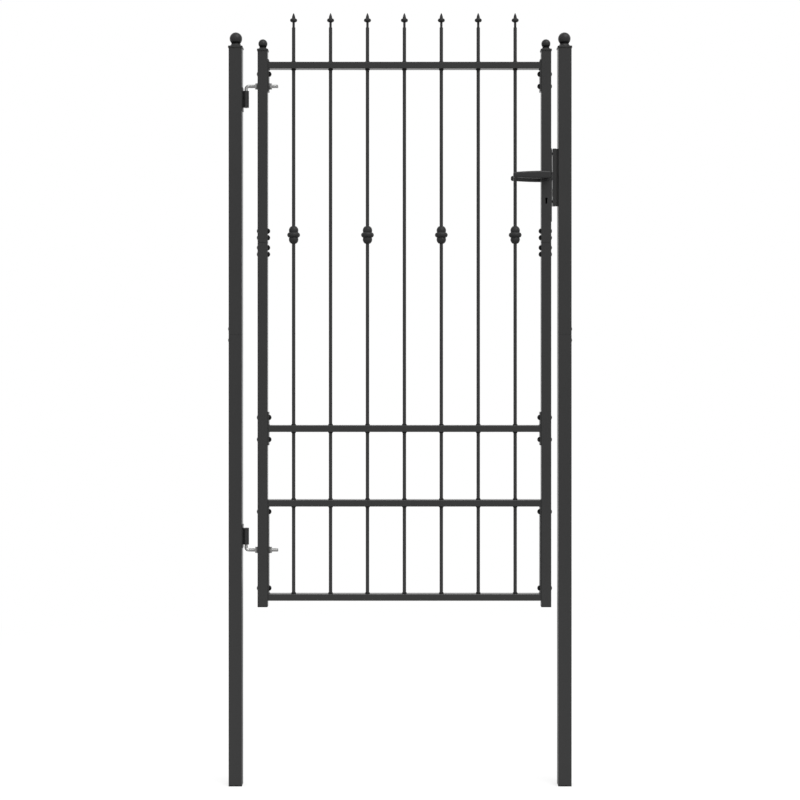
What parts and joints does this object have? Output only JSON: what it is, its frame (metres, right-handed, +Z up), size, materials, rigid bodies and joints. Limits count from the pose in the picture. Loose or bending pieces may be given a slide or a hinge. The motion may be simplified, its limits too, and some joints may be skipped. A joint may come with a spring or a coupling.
{
  "type": "garden gate",
  "caption": "Tall metal garden gate: square posts with ball caps, a swinging leaf of round pickets with spear tips and collars, hook hinges and a lever lock.",
  "frame": {"origin": "midway between the two posts, in the gate's middle plane, at the level of the posts' feet", "axes": "+Z up, +X from the hinge post to the latch post, -Y the front"},
  "size_m": [1.0372, 0.11, 2.3256],
  "materials": {
    "grey_paint": "satin powder coat",
    "cast_grey": "satin powder coat",
    "ball_cap": "semi-gloss",
    "plug": "matt",
    "zinc": "bright zinc plate",
    "sleeve_steel": "mill",
    "handle_grey": "satin",
    "forend_black": "satin black",
    "lock_steel": "zinc plate"
  },
  "bodies": {
    "posts": {"hinge_post_lower": "grey_paint", "hinge_post_upper": "grey_paint", "latch_post_lower": "grey_paint", "latch_post_upper": "grey_paint", "post_sleeves": "sleeve_steel", "post_splice_screws": "grey_paint", "post_foot_plugs": "plug", "post_caps": "ball_cap", "upper_hinge_bracket": "grey_paint", "lower_hinge_bracket": "grey_paint", "strike_box": "grey_paint", "strike_screws": "zinc"},
    "leaf": {"hinge_stile_lower": "grey_paint", "hinge_stile_upper": "grey_paint", "latch_stile_lower": "grey_paint", "latch_stile_upper": "grey_paint", "top_rail": "grey_paint", "middle_rail": "grey_paint", "lower_rail": "grey_paint", "bottom_rail": "grey_paint", "top_plates": "grey_paint", "middle_plates": "grey_paint", "lower_plates": "grey_paint", "stile_bolts": "grey_paint", "picket_1": "grey_paint", "picket_2": "grey_paint", "picket_3": "grey_paint", "picket_4": "grey_paint", "picket_5": "grey_paint", "picket_6": "grey_paint", "picket_7": "grey_paint", "spear_1": "cast_grey", "spear_2": "cast_grey", "spear_3": "cast_grey", "spear_4": "cast_grey", "spear_5": "cast_grey", "spear_6": "cast_grey", "spear_7": "cast_grey", "collar_1": "cast_grey", "collar_2": "cast_grey", "collar_3": "cast_grey", "collar_4": "cast_grey", "stile_caps": "ball_cap", "stile_foot_plugs": "plug", "stile_nuts": "plug", "upper_hinge_hook": "zinc", "lower_hinge_hook": "zinc", "hinge_nuts": "zinc", "forend_screws": "zinc", "stile_sleeves": "sleeve_steel", "lever_roses": "handle_grey", "lock_forend": "forend_black", "lock_case": "lock_steel", "latch_spring": "lock_steel"},
    "handle": {"front_lever": "handle_grey", "rear_lever": "handle_grey", "lever_spindle": "lock_steel", "lock_follower": "lock_steel"},
    "latch": {"latch_bolt": "lock_steel"},
    "dead_bolt": {"dead_bolt": "lock_steel"}
  },
  "joints": [
    {"name": "gate_swing", "type": "hinge", "parent": "posts", "child": "leaf", "pos_m": [-0.464, 0, 1.4], "axis": [0, 0, 1], "range_deg": [-105, 105]},
    {"name": "handle_turn", "type": "hinge", "parent": "leaf", "child": "handle", "pos_m": [0.4394, 0, 1.8338], "axis": [0, -1, 0], "range_deg": [0, 30], "stiffness_Nm_per_rad": 1, "springref_deg": -34.38},
    {"name": "latch_slide", "type": "slide", "parent": "leaf", "child": "latch", "axis": [-1, 0, 0], "range_m": [0, 0.0081], "deforming": ["latch_spring"]},
    {"name": "deadbolt_throw", "type": "slide", "parent": "leaf", "child": "dead_bolt", "axis": [1, 0, 0], "range_m": [0, 0.01]}
  ],
  "couplings": [
    {"joint": "latch_slide", "follows": "handle_turn", "m_per_rad": 0.01528}
  ]
}
